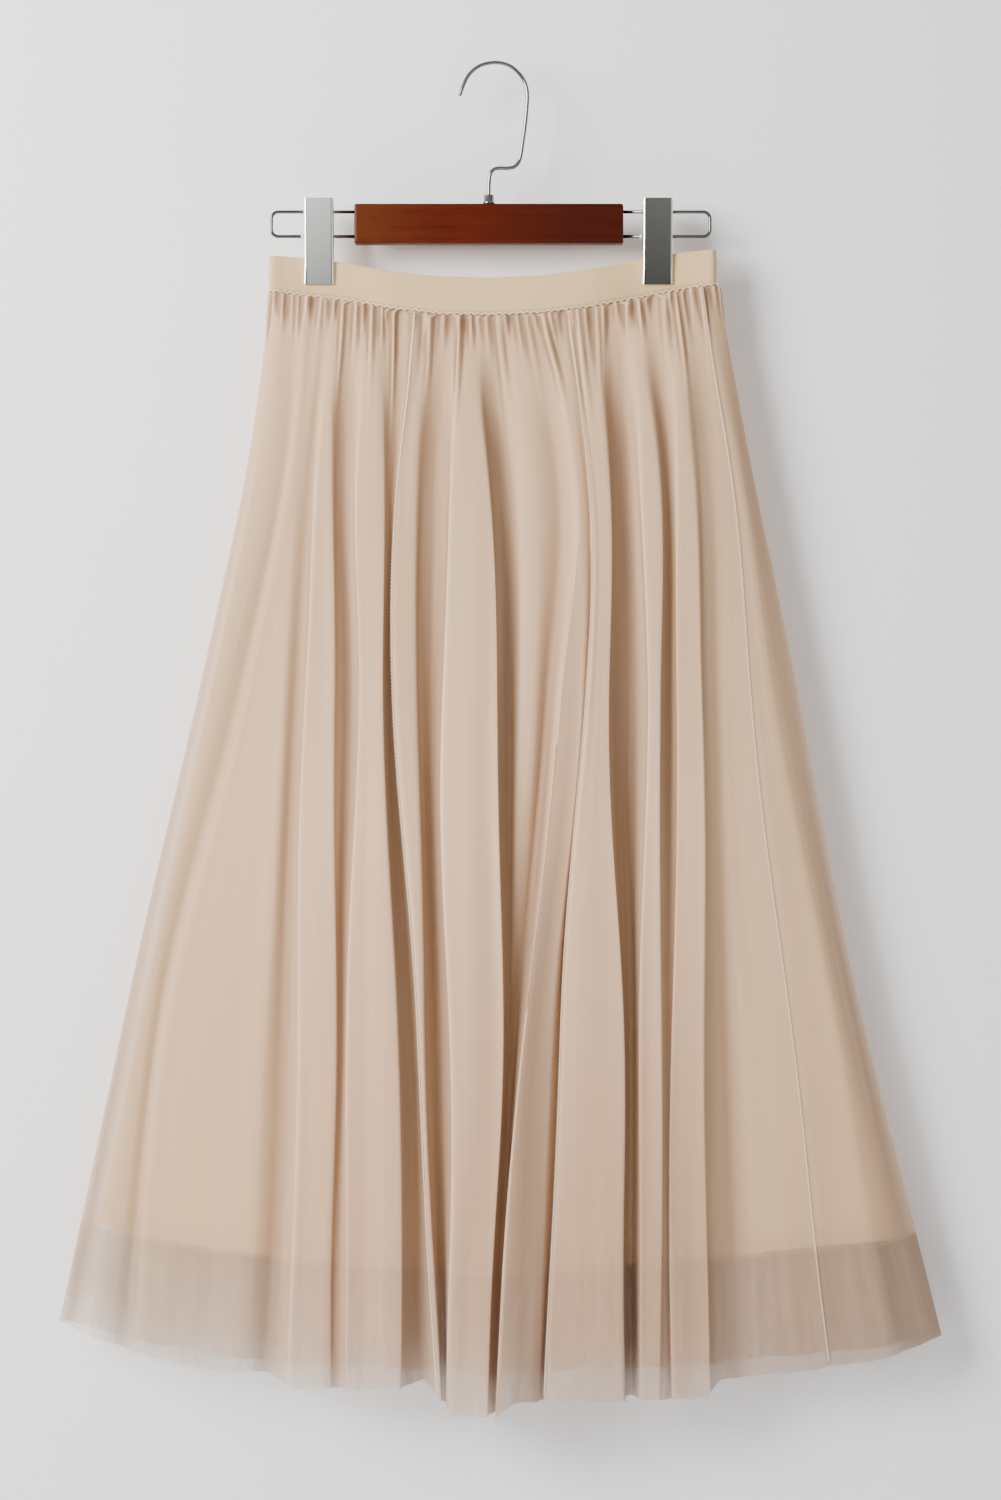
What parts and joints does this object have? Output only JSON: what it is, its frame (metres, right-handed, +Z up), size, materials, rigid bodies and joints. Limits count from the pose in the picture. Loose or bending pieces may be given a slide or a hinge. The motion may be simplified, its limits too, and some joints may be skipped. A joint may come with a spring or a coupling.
{
  "type": "tulle midi skirt on a clip hanger",
  "caption": "Gathered tulle midi skirt with a shorter lining and an elastic waist, held by the clips of a wooden bar hanger with a wire hook.",
  "frame": {"origin": "the point inside the crown of the hook that rests on the rail or peg that holds the hanger", "axes": "+Z up through the hook, along the skirt's length; -Y towards the viewer, out of the skirt's front; +X to the viewer's right, along the hanger's bar"},
  "size_m": [0.6319, 0.078, 0.9678],
  "materials": {
    "elastic": "matt knitted elastic",
    "tulle": "fine sheer net",
    "lining": "smooth plain weave, slight sheen",
    "bar_wood": "mahogany red satin lacquer",
    "hook_chrome": "bright plated wire",
    "loop_chrome": "bright plated wire",
    "clip_left_metal": "bright plated pressed sheet",
    "clip_right_metal": "bright plated pressed sheet",
    "spring_steel": "plain spring wire"
  },
  "bodies": {
    "root": {"waistband": "elastic", "tulle_front_left": "tulle", "tulle_front_centre": "tulle", "tulle_front_right": "tulle", "tulle_back_right": "tulle", "tulle_back_centre": "tulle", "tulle_back_left": "tulle", "lining_front": "lining", "lining_back": "lining", "hanger_bar": "bar_wood", "hook_wire": "hook_chrome", "hook_collar": "hook_chrome", "wire_loop_left": "loop_chrome", "wire_loop_right": "loop_chrome", "clip_front_left": "clip_left_metal", "clip_back_left": "clip_left_metal", "clip_front_right": "clip_right_metal", "clip_back_right": "clip_right_metal", "clip_spring_left": "spring_steel", "clip_spring_right": "spring_steel"}
  },
  "joints": []
}
